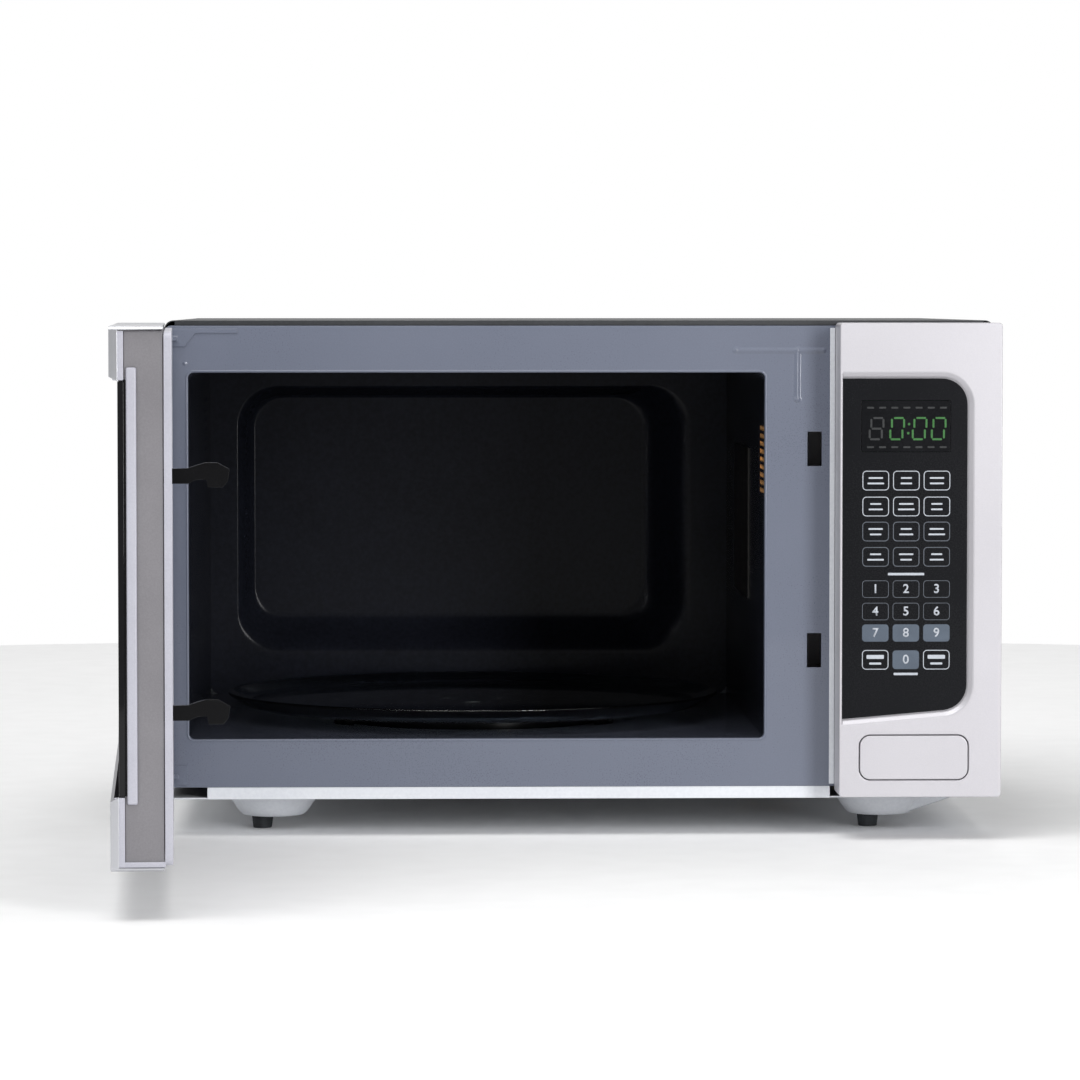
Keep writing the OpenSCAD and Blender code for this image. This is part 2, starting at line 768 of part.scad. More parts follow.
// Smoked window over the display
module display_window() color([0.1, 0.12, 0.12]) placed() {
  upright([recess_floor - 1.4, recess_floor + 1])
    round_rect([display_x[0] + 0.2, display_x[1] - 0.2], [display_z[0] + 0.2, display_z[1] - 0.2], 1);
}

// Four-digit display block
module display_module() color([0.3, 0.34, 0.32]) placed() {
  block([display_x[0] + 1, display_x[1] - 1], [recess_floor + 2, recess_floor + 9],
    [display_z[0] + 1, display_z[1] - 1]);
}

// Control circuit board with its relays and supply transformer
module control_board() color([0.2, 0.45, 0.25]) placed() {
  y = recess_floor + 9;
  block([176, 252], [y, y + 1.6], [104, 320]);
  block([184, 222], [y + 1.6, y + 23], [112, 146]);
  for (z = [165, 195]) block([188, 206], [y + 1.6, y + 18], [z, z + 22]);
  rod_y([236, y + 1.6, 170], 6, 16);
}

// Door release button, its guide plate and push rod
module release_button() color(colour_steel) placed() {
  face = panel_face - 0.5;
  upright([face, face + 12]) button_outline(0);
  block([button_mid[0] - rod_half, button_mid[0] + rod_half], [face + 10, rod_end],
    [button_mid[1] - rod_half, button_mid[1] + rod_half]);
}

// Return spring round the push rod
module button_spring() color(colour_light) placed() {
  translate([button_mid[0], spring_start + 0.8, button_mid[1]])
    coil(8, 0.7, spring_end - spring_start - 1.6, 5);
}

// Bell-crank that the push rod turns, with the arm that lifts the lower hook
module release_lever() color(colour_light) placed() {
  y = lever_pivot[0];
  z = lever_pivot[1];
  rod_x([148, y, z], lever_r, 86);
  block([button_mid[0] - 5, button_mid[0] + 5], [y - 1.6, y + 2.4], [button_mid[1] - 8, z]);
  block([152.5, 160], [y - 1, y + 20], [z - 3, z + 2]);
  block([152.5, 160], [y + 15, y + 20], [z, z + 22.6]);
}

// Moulded latch board behind the front plate: side wall, shelves under the hooks, lever bearings
module latch_board() color(colour_grey) placed() {
  y = [front_y + 2.6, front_y + 48];
  difference() {
    union() {
      block([164, 167], y, [74, 284]);
      for (z = slot_levels) {
        block([146, 164], [front_y + 2.6, front_y + 44], [z - slot_h / 2 - 4, z - slot_h / 2 - 0.6]);
        block([146, 167], [front_y + 44, front_y + 48], [z - slot_h / 2 - 4, z + slot_h / 2 + 6]);
      }
      for (x = [164, 228]) rod_x([x, lever_pivot[0], lever_pivot[1]], 7, 5);
      block([164, 233], [front_y + 19.5, front_y + 22], [74, 98]);
      block([228, 233], [lever_pivot[0], front_y + 22], [lever_pivot[1] - 7, lever_pivot[1] + 7]);
    }
    rod_x([140, lever_pivot[0], lever_pivot[1]], lever_bore, 110);
    block([140, 162.5], [front_y, front_y + 42],
      [slot_levels[0] - slot_h / 2 - 6, slot_levels[0] - slot_h / 2]);
    block([button_mid[0] - 6, button_mid[0] + 6], [front_y + 18, front_y + 30], [70, 84]);
  }
}

// Three snap switches on the latch board
module interlock_switches() color(colour_dark) placed() {
  for (z = [130, 225, 258]) {
    block([167, 177.5], [front_y + 10, front_y + 38], [z - 8, z + 8]);
    for (dy = [14, 24, 34]) block([177.5, 184], [front_y + dy, front_y + dy + 0.8], [z - 3, z + 3]);
  }
}

/* Door */

module door_band_cut(grow) {
  x0 = glass_left - grow;
  top = glass_top + grow;
  low = glass_bottom - grow;
  r = 16 + grow;
  polygon(concat(
    [[door_right + 5, low]],
    [[door_right + 5, top]],
    arc(x0 + r, top - r, r, 90, 180, 10),
    arc(x0 + r, low + r, r, 180, 270, 10)
  ));
}

// Outer door skin: bands above and below the glass, a stile at the hinge, and thin skirts
module door_bezel() color(colour_steel) hung() {
  difference() {
    upright([door_face, frame_back]) round_rect([door_left, door_right], [face_bottom, face_top], 2.5);
    upright([door_face + bezel_t, frame_back + 1])
      round_rect([door_left + bezel_t, door_right - bezel_t], [face_bottom + bezel_t, face_top - bezel_t], 1);
    hull() {
      upright([door_face - 1, door_face]) door_band_cut(2.5);
      upright([door_face + bezel_t, glass_face]) door_band_cut(0);
    }
    block([door_left - 1, door_left + 9], [bezel_skirt, frame_back + 1], [face_bottom - 1, face_top + 1]);
    block([door_right - 6, door_right + 1], [glass_face, frame_back + 1],
      [face_bottom + bezel_t, face_top - bezel_t]);
  }
}

// Black front glass of the door
module door_glass() color(colour_dark) hung() {
  upright([glass_face, glass_back]) intersection() {
    door_band_cut(-0.3);
    translate([-300, 0]) square([300 + door_right - 0.5, 400]);
  }
}

// Grey moulded frame between the skin and the steel inner panel
module door_mid_frame() color(colour_grey) hung() {
  z = [face_bottom + bezel_t + 0.2, face_top - bezel_t - 0.2];
  difference() {
    upright([glass_back, frame_back]) round_rect([frame_left, frame_right], z, 2);
    upright([glass_back + 2.5, frame_back + 1])
      round_rect([frame_left + 3, frame_right - 3], [z[0] + 3, z[1] - 3], 1);
    upright([glass_back - 1, glass_back + 4])
      round_rect([screen_x[0] - 6, screen_x[1] + 6], [screen_z[0] - 6, screen_z[1] + 6], 6);
  }
  rod_x([hook_x - 5, (strip_y[0] + strip_y[1]) / 2, hook_levels[0] - 41.5], 1.6, frame_right - hook_x + 3);
}

// Pressed steel inner panel: flange, choke channel and window edge
module door_inner_panel() color(colour_light) hung() {
  z = [face_bottom + 6, face_top - 6];
  x = [frame_left + 3.5, frame_right - 4];
  difference() {
    union() {
      upright([frame_back - 1, frame_back]) difference() {
        round_rect(x, z, 2);
        round_rect([screen_x[0] - 10, screen_x[1] + 10], [screen_z[0] - 10, screen_z[1] + 10], 6);
      }
      upright([frame_back - 14, frame_back]) difference() {
        round_rect([screen_x[0] - 11, screen_x[1] + 11], [screen_z[0] - 11, screen_z[1] + 11], 6);
        round_rect([screen_x[0] - 10, screen_x[1] + 10], [screen_z[0] - 10, screen_z[1] + 10], 6);
      }
      upright([frame_back - 14, frame_back - 13]) difference() {
        round_rect([screen_x[0] - 10.5, screen_x[1] + 10.5], [screen_z[0] - 10.5, screen_z[1] + 10.5], 6);
        round_rect(screen_x, screen_z, 2);
      }
    }
    for (h = hook_levels)
      block([hook_x - 4.5, hook_x + 4.5], [frame_back - 3, frame_back + 2], [h - 12, h + 14]);
  }
}

// Perforated shielding screen in the window
module door_screen() color(colour_dark) hung() {
  upright([frame_back - 13, frame_back - 12.4])
    round_rect([screen_x[0] - 8, screen_x[1] + 8], [screen_z[0] - 8, screen_z[1] + 8], 4);
}

// Clear film over the screen, on the cooking side
module door_film() color([0.7, 0.75, 0.78, 0.4]) hung() {
  upright([frame_back - 12.4, frame_back - 11.9])
    round_rect([screen_x[0] - 9, screen_x[1] + 9], [screen_z[0] - 9, screen_z[1] + 9], 4);
}

// Moulded ring over the choke channel, on the cooking side
module door_choke_cover() color(colour_light) hung() {
  z = [face_bottom + 3.2, face_top - 3.2];
  difference() {
    upright([lip_front, door_lip]) round_rect([frame_left + 3, door_right - 0.6], z, 4);
    upright([lip_front + 1.6, door_lip + 1]) round_rect(
      [screen_x[0] - 2, screen_x[1] + 2], [screen_z[0] - 2, screen_z[1] + 2], 6
    );
    upright([lip_front - 1, door_lip + 1]) round_rect(screen_x, screen_z, 4);
    for (h = hook_levels)
      block([hook_x - 5, hook_x + 5], [lip_front - 1, door_lip + 1], [h - 12, h + 14]);
  }
}

// Two lugs that turn on the hinge pins
module door_hinge_ears() color(colour_grey) hung() {
  for (z = [plate_top - 21, plate_bottom + 15]) difference() {
    union() {
      rod_z([hinge_x, hinge_y, z], ear_r, 6);
      block([hinge_x, frame_left], [hinge_y - ear_r, hinge_y], [z, z + 6]);
    }
    rod_z([hinge_x, hinge_y, z - 1], ear_bore, 8);
  }
}

// Strip with two hooks that slides up and down in the door
module latch_hooks() color(colour_dark) hung() {
  block([hook_x - 4, hook_x + 4], strip_y, [hook_levels[0] - 12, hook_levels[1] + 12]);
  for (h = hook_levels)
    translate([hook_x - hook_t / 2, 0, h]) rotate([90, 0, 90]) linear_extrude(hook_t)
      polygon(concat(
        [for (p = hook_profile) [door_lip + p[0], p[1]]],
        [[strip_y[0] + 1, -4.3], [strip_y[0] + 1, 4.4]]
      ));
}

// Tension spring that pulls the hook strip down
module latch_spring() color(colour_light) hung() {
  translate([hook_x, (strip_y[0] + strip_y[1]) / 2, hook_levels[0] - 13]) rotate([-90, 0, 0])
    coil(3, 0.5, 26, 9);
}

cabinet_cover();
rear_panel();
base_plate();
feet();
cover_screws();
front_plate();
cavity_wrapper();
cavity_floor();
cavity_rear_wall();
lamp_grille();
lamp_housing();
lamp_bulb();
waveguide_cover();
waveguide();
magnetron_yoke();
magnetron_fins();
magnetron_antenna();
transformer_core();
transformer_coils();
capacitor();
capacitor_clamp();
fan_shroud();
fan_motor();
fan_blades();
air_duct();
turntable_motor();
turntable_shaft();
turntable_coupler();
glass_tray();
roller_ring();
roller(90);  // roller_1
roller(210);  // roller_2
roller(330);  // roller_3
upper_hinge();
lower_hinge();
control_panel_housing();
keypad_overlay();
display_window();
display_module();
control_board();
release_button();
button_spring();
release_lever();
latch_board();
interlock_switches();
filter_board();
thermal_cutouts();
cord_gland();
door_bezel();
door_glass();
door_mid_frame();
door_inner_panel();
door_screen();
door_film();
door_choke_cover();
door_hinge_ears();
latch_hooks();
latch_spring();
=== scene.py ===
import json
import math
import bpy
from mathutils import Matrix, Vector


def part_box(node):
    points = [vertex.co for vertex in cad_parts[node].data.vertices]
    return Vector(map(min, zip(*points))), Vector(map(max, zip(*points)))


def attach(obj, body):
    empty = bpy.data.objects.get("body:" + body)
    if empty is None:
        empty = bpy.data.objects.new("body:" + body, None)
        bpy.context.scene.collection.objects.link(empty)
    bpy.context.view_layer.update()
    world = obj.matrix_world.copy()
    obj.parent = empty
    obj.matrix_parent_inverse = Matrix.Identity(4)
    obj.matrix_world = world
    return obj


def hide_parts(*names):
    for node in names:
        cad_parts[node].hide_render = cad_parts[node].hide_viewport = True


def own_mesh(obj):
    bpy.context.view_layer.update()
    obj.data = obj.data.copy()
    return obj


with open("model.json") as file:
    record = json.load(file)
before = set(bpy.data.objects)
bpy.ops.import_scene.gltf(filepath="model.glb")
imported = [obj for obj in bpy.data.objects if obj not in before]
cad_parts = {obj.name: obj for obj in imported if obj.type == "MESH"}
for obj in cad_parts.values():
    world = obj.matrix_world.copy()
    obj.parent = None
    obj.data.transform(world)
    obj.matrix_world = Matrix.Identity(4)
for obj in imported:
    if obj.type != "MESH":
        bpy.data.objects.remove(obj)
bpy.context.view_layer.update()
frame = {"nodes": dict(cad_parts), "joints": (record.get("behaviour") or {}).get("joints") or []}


# Base pan: one pressed sheet of light painted steel, vented, with a turned-up front lip and four
# round wells drawn down from it. The feet are pushed up through the wells.
plate_low, plate_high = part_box("front_plate")
middle = (plate_low[0] + plate_high[0]) / 2
front = plate_low[1]


def at(x, y, z):
    """A point in mm: x right of the middle, y behind the front plate's face, z above the worktop."""
    return Vector((middle + x / 1000, front + y / 1000, z / 1000))


def linear(code):
    """A hex colour as the linear values that a shader takes."""
    values = [int(code[i:i + 2], 16) / 255 for i in (1, 3, 5)]
    return tuple(v / 12.92 if v <= 0.04045 else ((v + 0.055) / 1.055) ** 2.4 for v in values) + (1.0,)


def add(material, kind, inputs=None, stops=None, **settings):
    """Adds a node. inputs maps a socket to a value or to another node's output.
    stops are a colour ramp's places and colours."""
    made = material.node_tree.nodes.new(kind)
    for key, value in settings.items():
        setattr(made, key, value)
    if stops:
        ramp = made.color_ramp
        ramp.elements[0].position, ramp.elements[0].color = stops[0]
        ramp.elements[1].position, ramp.elements[1].color = stops[-1]
        for place, colour in stops[1:-1]:
            ramp.elements.new(place).color = colour
    for key, value in (inputs or {}).items():
        if isinstance(value, bpy.types.NodeSocket):
            material.node_tree.links.new(value, made.inputs[key])
        else:
            made.inputs[key].default_value = value
    return made


def blank(name):
    """A material with no nodes in it yet."""
    made = bpy.data.materials.new(name)
    made.use_nodes = True
    made.node_tree.nodes.clear()
    return made


def finish_of(name, light, dark, rough, patch_mm, grain_mm, grain_depth, stretch=(1, 1, 1), **shader):
    """A surface whose colour and gloss drift over patches, with a fine relief of its own grain size."""
    made = blank(name)
    place = add(made, "ShaderNodeTexCoord").outputs["Object"]
    patches = add(made, "ShaderNodeTexNoise", {"Vector": place, "Scale": 1000 / patch_mm, "Detail": 4.0})
    drawn = add(made, "ShaderNodeMapping", {"Vector": place, "Scale": stretch})
    grain = add(made, "ShaderNodeTexNoise", {
        "Vector": drawn.outputs[0], "Scale": 1000 / grain_mm, "Detail": 1.5})
    both = add(made, "ShaderNodeMath", {0: patches.outputs[0], 1: grain.outputs[0]}, operation="ADD")
    half = add(made, "ShaderNodeMath", {0: both.outputs[0], 1: 0.5}, operation="MULTIPLY")
    colour = add(made, "ShaderNodeValToRGB", {"Fac": half.outputs[0]}, stops=[
        (0.36, linear(dark)), (0.64, linear(light))])
    gloss = add(made, "ShaderNodeMapRange", {
        "Value": half.outputs[0], "From Min": 0.3, "From Max": 0.7, "To Min": rough[0], "To Max": rough[1]})
    relief = add(made, "ShaderNodeBump", {
        "Height": grain.outputs[0], "Strength": 1.0, "Distance": grain_depth / 1000})
    skin = add(made, "ShaderNodeBsdfPrincipled", dict({
        "Base Color": colour.outputs[0], "Roughness": gloss.outputs[0],
        "Normal": relief.outputs[0]}, **shader))
    add(made, "ShaderNodeOutputMaterial", {"Surface": skin.outputs[0]})
    return made


def only(piece):
    """Makes one piece the only selected and active one."""
    bpy.ops.object.select_all(action="DESELECT")
    piece.select_set(True)
    bpy.context.view_layer.objects.active = piece
    return piece


def copy_of(node, name, merge=0.01, quads=False):
    """A solid's own shape as one clean mesh. merge, in mm, also takes out edges too short to round.
    quads keeps four-sided faces, for a piece whose ring-shaped rim would fill over when rounded."""
    piece = bpy.data.objects.new(name, frame["nodes"][node].data.copy())
    bpy.context.scene.collection.objects.link(piece)
    only(piece)
    bpy.ops.mesh.customdata_custom_splitnormals_clear()
    bpy.ops.object.mode_set(mode="EDIT")
    bpy.ops.mesh.select_all(action="SELECT")
    bpy.ops.mesh.remove_doubles(threshold=merge / 1000)
    if quads:
        bpy.ops.mesh.tris_convert_to_quads(face_threshold=math.radians(1), shape_threshold=math.radians(179))
    else:
        bpy.ops.mesh.dissolve_limited(angle_limit=math.radians(0.6))
    bpy.ops.object.mode_set(mode="OBJECT")
    return piece


def soften(piece, width, segments=2, limit=30, smooth=40):
    """Rounds the edges sharper than limit degrees to width mm, as a press or mould leaves them."""
    only(piece)
    if width:
        bpy.ops.object.modifier_add(type="BEVEL")
        edge = piece.modifiers[-1]
        edge.width, edge.segments, edge.limit_method = width / 1000, segments, "ANGLE"
        edge.angle_limit, edge.use_clamp_overlap = math.radians(limit), False
        bpy.ops.object.modifier_apply(modifier=edge.name)
    bpy.ops.object.shade_smooth_by_angle(angle=math.radians(smooth))
    bpy.ops.object.modifier_add(type="WEIGHTED_NORMAL")
    piece.modifiers[-1].keep_sharp = True
    bpy.ops.object.modifier_apply(modifier=piece.modifiers[-1].name)
    return piece


def fit(piece, body, material, slot, *nodes):
    """Gives a finished piece its material and its body, and hides the solids that it stands for. slot is not
    used.
    """
    piece.data.materials.clear()
    piece.data.materials.append(material)
    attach(piece, body)
    if nodes:
        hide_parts(*nodes)
    return piece


# Baked polyester paint over steel: a faint orange peel breaks up its soft highlights.
pan_paint = finish_of("pan_baked_polyester", "#dfe2e7", "#d6d9df", (0.32, 0.44), 60, 2.2, 0.012)
base_pan = soften(copy_of("base_plate", "base_pan"), 0.25, 2, 35, 45)
fit(base_pan, "cabinet", pan_paint, "galvanised_steel", "base_plate")

# Moulded black rubber: matt, a little dusty where it was handled.
foot_rubber = finish_of("foot_rubber", "#2c3034", "#1a1c1f", (0.6, 0.8), 9, 0.8, 0.05)
rubber_feet = soften(copy_of("feet", "rubber_feet"), 0.6, 3, 35, 50)
fit(rubber_feet, "cabinet", foot_rubber, "rubber_black", "feet")


# Front plate: 1.2 mm steel with its mouth edge rolled over, a raised T-shaped bead and two latch slots.
# It is sprayed slate blue after the cavity is welded to it, with the hinge brackets on it.
# Stoved enamel paint: smooth, with a thin clear gloss over an even slate blue.
plate_paint = finish_of("plate_slate_enamel_paint", "#686e7e", "#626878", (0.26, 0.32), 160, 0.9, 0.003, **{
    "Coat Weight": 0.3})
front_sheet = soften(copy_of("front_plate", "front_sheet"), 0.45, 3)
fit(front_sheet, "cabinet", plate_paint, "plate_paint", "front_plate")
cavity_low, cavity_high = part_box("cavity_wrapper")
mouth_x = ((cavity_low[0] - middle) * 1000 + 1, (cavity_high[0] - middle) * 1000 - 1)
mouth_z = (65, cavity_high[2] * 1000 - 1)
stand_up = Matrix.Rotation(math.radians(90), 4, "X")


def thicken(piece, thickness, offset=-1):
    """Gives a formed sheet its thickness in mm, behind the face that shows, or both ways at offset 0."""
    only(piece)
    bpy.ops.object.modifier_add(type="SOLIDIFY")
    piece.modifiers[-1].thickness, piece.modifiers[-1].offset = thickness / 1000, offset
    bpy.ops.object.modifier_apply(modifier=piece.modifiers[-1].name)
    return piece


def outline(name, x, y, z, radius, segments):
    """A flat upright face between two corners, y behind the plate's face, with rounded corners, in mm."""
    bpy.ops.object.select_all(action="DESELECT")
    bpy.ops.mesh.primitive_plane_add(size=1, location=(0, 0, 0))
    piece = bpy.context.active_object
    piece.name = name
    piece.scale = ((x[1] - x[0]) / 1000, (z[1] - z[0]) / 1000, 1)
    bpy.ops.object.transform_apply(location=True, rotation=True, scale=True)
    bpy.ops.object.mode_set(mode="EDIT")
    bpy.ops.mesh.select_all(action="SELECT")
    bpy.ops.mesh.bevel(offset=radius / 1000, segments=segments, affect="VERTICES")
    bpy.ops.object.mode_set(mode="OBJECT")
    centre = at((x[0] + x[1]) / 2, y, (z[0] + z[1]) / 2)
    piece.data.transform(Matrix.Translation(centre) @ stand_up)
    return piece


# The rolled edge stands about a quarter of a millimetre proud of the plate. Its round section is drawn
# as insets of the outline, from 160 degrees down to level.
roll_width = 1.8
roll_x = (mouth_x[0] - roll_width, mouth_x[1] + roll_width)
roll_z = (mouth_z[0] - roll_width, mouth_z[1] + roll_width)
mouth_roll = outline("mouth_roll", roll_x, 0.3, roll_z, 5.6, 10)
only(mouth_roll)
bpy.ops.object.mode_set(mode="EDIT")
bpy.ops.mesh.select_all(action="SELECT")
turns = [math.radians(160 - 20 * step) for step in range(9)]
for before, after in zip(turns, turns[1:]):
    bpy.ops.mesh.inset(
        thickness=0.001 * (math.cos(after) - math.cos(before)),
        depth=0.001 * (math.sin(after) - math.sin(before)) * 0.85)
bpy.ops.mesh.inset(thickness=0.00005, depth=-0.003)
bpy.ops.mesh.delete(type="FACE")
bpy.ops.object.mode_set(mode="OBJECT")
fit(soften(thicken(mouth_roll, 0.2), 0, smooth=60), "cabinet", plate_paint, "plate_paint")


def raised_bead(name, x, z, lines):
    """A patch of pressed sheet whose rim runs into the plate. Each line is its ends in x, its ends in z,
    the height of its crest and how far the slope reaches to either side, in mm."""
    cells_per_mm = 2
    bpy.ops.object.select_all(action="DESELECT")
    bpy.ops.mesh.primitive_grid_add(
        x_subdivisions=round((x[1] - x[0]) * cells_per_mm),
        y_subdivisions=round((z[1] - z[0]) * cells_per_mm), size=1, location=(0, 0, 0))
    patch = bpy.context.active_object
    patch.name = name
    patch.scale = ((x[1] - x[0]) / 1000, (z[1] - z[0]) / 1000, 1)
    bpy.ops.object.transform_apply(location=True, rotation=True, scale=True)
    centre = at((x[0] + x[1]) / 2, 0.05, (z[0] + z[1]) / 2)
    patch.data.transform(Matrix.Translation(centre) @ stand_up)
    for vertex in patch.data.vertices:
        px, pz = (vertex.co.x - middle) * 1000, vertex.co.z * 1000
        rises = [0.0]
        for x0, x1, z0, z1, height, reach in lines:
            off = math.hypot(max(x0 - px, 0, px - x1), max(z0 - pz, 0, pz - z1)) / reach
            rises.append(height * (0.5 + 0.5 * math.cos(math.pi * min(off, 1))))
        vertex.co.y -= max(rises) / 1000
    return fit(soften(thicken(patch, 0.3), 0, smooth=60), "cabinet", plate_paint, "plate_paint")


def block(name, x, y, z):
    """A plain block between two corners in mm, whose edges are rounded afterwards."""
    bpy.ops.object.select_all(action="DESELECT")
    low, high = at(x[0], y[0], z[0]), at(x[1], y[1], z[1])
    bpy.ops.mesh.primitive_cube_add(size=1, location=(low + high) / 2, scale=high - low)
    piece = bpy.context.active_object
    piece.name = name
    bpy.ops.object.transform_apply(location=True, rotation=True, scale=True)
    return piece


# The plate's folded return stands a little proud along the panel's side; the pan's lighter paint on it is
# painted light.
plate_return = block("plate_return", (166.3, 169.7), (-0.9, 0.3), (34.5, 338.5))
fit(soften(plate_return, 0.4, 3), "cabinet", pan_paint, "plate_paint")

# The T-shaped bead is a level arm and an upright stem, with a slightly higher round boss at the arm's
# left end, at the stem's foot and where the two meet.
arm_z, stem_x, stem_foot, arm_left, arm_right = 323.5, 144.5, 291, 104, 162
ridge, boss = (0.8, 2.4), (0.95, 3.2)
bead_lines = (
    (arm_left, arm_right, arm_z, arm_z, *ridge),
    (stem_x, stem_x, stem_foot, arm_z, *ridge),
    (arm_left, arm_left, arm_z, arm_z, *boss),
    (stem_x, stem_x, stem_foot, stem_foot, *boss),
    (stem_x, stem_x, arm_z, arm_z, *boss),
)
raised_bead("plate_bead_head", (98, 168), (317, 330), bead_lines)
raised_bead("plate_bead_stem", (138, 151), (285, 317), bead_lines)
raised_bead("plate_dimple", (-266, -258), (311, 319), ((-262, -262, 315, 315, 0.6, 2.0),))

# The upper bracket's pressed leaf is cut back along its lower edge, 8 mm above the solid's: its points
# near the two heights of that edge move up, and points further forward than the leaf reaches stay.
leaf_edges, edge_margin = (0.318, 0.327), 0.0004
leaf_cut = 0.008
leaf_reach = 0.0009
for node in ("upper_hinge", "lower_hinge"):
    bracket = copy_of(node, node + "_bracket")
    if node == "upper_hinge":
        for vertex in bracket.data.vertices:
            at_edge = min(abs(vertex.co.z - edge) for edge in leaf_edges) < edge_margin
            if vertex.co.y > front - leaf_reach and at_edge:
                vertex.co.z += leaf_cut
    fit(soften(bracket, 0.36, 3), "cabinet", plate_paint, "plate_paint", node)


# Cavity: two sides and a ceiling folded from one sheet, a floor with a round well, and a rear wall
# with a shallow pressed pocket, all fired with a dark glossy enamel.
# Fired enamel: a hard dark glaze. Its mirror-like share is held low, so that the white studio doesn't
# turn the cavity grey.
cavity_enamel = finish_of("cavity_fired_enamel", "#20222b", "#191b22", (0.18, 0.25), 90, 3.0, 0.003, **{
    "Specular IOR Level": 0.1})
cavity_sides = soften(copy_of("cavity_wrapper", "cavity_sides"), 0.3, 2, 35, 45)
fit(cavity_sides, "cabinet", cavity_enamel, "cavity_enamel", "cavity_wrapper")

# The rear wall is drawn as one sheet: the wall, then a rounded outline that steps back and in along
# an S, which gives the pressed pocket its two soft edges.
wall_y = (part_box("cavity_rear_wall")[0][1] - front) * 1000
wall_x = (mouth_x[0] - 0.5, mouth_x[1] + 0.5)
wall_z = (mouth_z[0] - 0.5, mouth_z[1] + 0.5)
cavity_rear = outline("cavity_rear", wall_x, wall_y, wall_z, 8, 16)
# The pocket's left, right, low and high edges in mm, at its mouth and at its floor.
pocket_from, pocket_to = (-240.5, 97, 94, 294), (-227, 60, 124, 284)
pocket_depth = 18
pocket_corner, corner_shrink, corner_steps = 30, 8, 16


def pocket_ring(share):
    """A pocket outline, from its mouth at 0 to its floor at 1, as points round its four corners."""
    left, right, low, high = [a + (b - a) * share for a, b in zip(pocket_from, pocket_to)]
    radius = pocket_corner - corner_shrink * share
    depth = wall_y + pocket_depth * (0.5 - 0.5 * math.cos(math.pi * share))
    points = []
    for cx, cz, start in ((right - radius, high - radius, 0), (left + radius, high - radius, 90),
                          (left + radius, low + radius, 180), (right - radius, low + radius, 270)):
        for step in range(corner_steps + 1):
            turn = math.radians(start + 90 * step / corner_steps)
            points.append(at(cx + radius * math.cos(turn), depth, cz + radius * math.sin(turn)))
    return points


def round_order(spots):
    """The order of a ring's points by their angle about its middle."""
    centre = sum(spots, Vector()) / len(spots)
    return sorted(range(len(spots)), key=lambda i: math.atan2(spots[i].z - centre.z, spots[i].x - centre.x))


# Each inset of the wall's innermost face takes the next outline's place.
rings = 14
inner_face = max(range(len(cavity_rear.data.polygons)), key=lambda face: cavity_rear.data.polygons[face].area)
only(cavity_rear)
for ring in range(rings + 1):
    for face in cavity_rear.data.polygons:
        face.select = face.index == inner_face
    bpy.ops.object.mode_set(mode="EDIT")
    bpy.ops.mesh.select_mode(type="FACE")
    bpy.ops.mesh.inset(thickness=0.0001)
    bpy.ops.object.mode_set(mode="OBJECT")
    inner = [face for face in cavity_rear.data.polygons if face.select][0]
    inner_face = inner.index
    corners = [cavity_rear.data.vertices[index] for index in inner.vertices]
    target = pocket_ring(ring / rings)
    for place, spot in zip(round_order([corner.co for corner in corners]), round_order(target)):
        corners[place].co = target[spot]
bpy.ops.object.mode_set(mode="EDIT")
bpy.ops.mesh.select_mode(type="VERT")
bpy.ops.object.mode_set(mode="OBJECT")
soften(thicken(cavity_rear, 0.8), 0, smooth=50)
fit(cavity_rear, "cabinet", cavity_enamel, "cavity_enamel", "cavity_rear_wall")
cavity_base = soften(copy_of("cavity_floor", "cavity_base"), 0.3, 2, 30, 45)
# The floor has the walls' enamel with a stronger sheen; its lighter, bluer colour is a painted reflection.
floor_enamel_painted_light = finish_of("floor_enamel_with_painted_reflection", "#41444f", "#373a44", (0.16, 0.24), 90, 3.0, 0.003, **{
    "Specular IOR Level": 0.2})
fit(cavity_base, "cabinet", floor_enamel_painted_light, "cavity_enamel", "cavity_floor")


# Oven lamp: a small bulb in a sheet steel box, behind a perforated patch in the right wall. The rims
# of the holes have its warm light painted on them.
def paint_node(node, material):
    """Gives a solid that keeps its own shape its material."""
    solid = frame["nodes"][node]
    solid.data.materials.clear()
    solid.data.materials.append(material)


# Galvanised steel: bright grey zinc that drifts in gloss over small patches.
galvanised = finish_of("galvanised_sheet", "#b9bdc2", "#9a9fa5", (0.28, 0.45), 14, 5.0, 0.004, **{
    "Metallic": 1.0})
# The bulb's glass glows a warm white. The rims' warm tan colour and faint glow are painted lamplight.
lamp_light = finish_of("lamp_lit_glass", "#ffe6c4", "#ffdcae", (0.1, 0.2), 8, 2, 0.001, **{
    "Emission Color": linear("#ffcf96"), "Emission Strength": 7.0})
rims_painted_lamplight = finish_of("lamp_lit_rims", "#8f7148", "#7a5f3b", (0.3, 0.45), 6, 1, 0.002, **{
    "Emission Color": linear("#c8955a"), "Emission Strength": 0.2})
paint_node("lamp_bulb", lamp_light)
paint_node("lamp_housing", galvanised)
grille = soften(copy_of("lamp_grille", "lamp_grille_patch"), 0, 2, 30, 30)
fit(grille, "cabinet", cavity_enamel, "galvanised_steel", "lamp_grille")
grille.data.materials.append(rims_painted_lamplight)
patch_low, patch_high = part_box("lamp_grille")
patch_edge = 0.001
# The rims inside the holes take the painted lamplight; the rest of the patch keeps the dark enamel.
for face in grille.data.polygons:
    inside = all(
        patch_low[axis] + patch_edge < face.center[axis] < patch_high[axis] - patch_edge for axis in (1, 2))
    face.material_index = 1 if abs(face.normal.x) < 0.5 and inside else 0


# Waveguide, magnetron and power parts: plain plated, pressed or wound parts, out of sight behind the
# right wall. Each keeps its own solid and takes its real finish.
# Mica sheet, coated dark: a flaky board with a low, uneven shine.
mica = finish_of("mica_sheet_coated", "#2a2825", "#201e1c", (0.35, 0.5), 25, 4, 0.02)
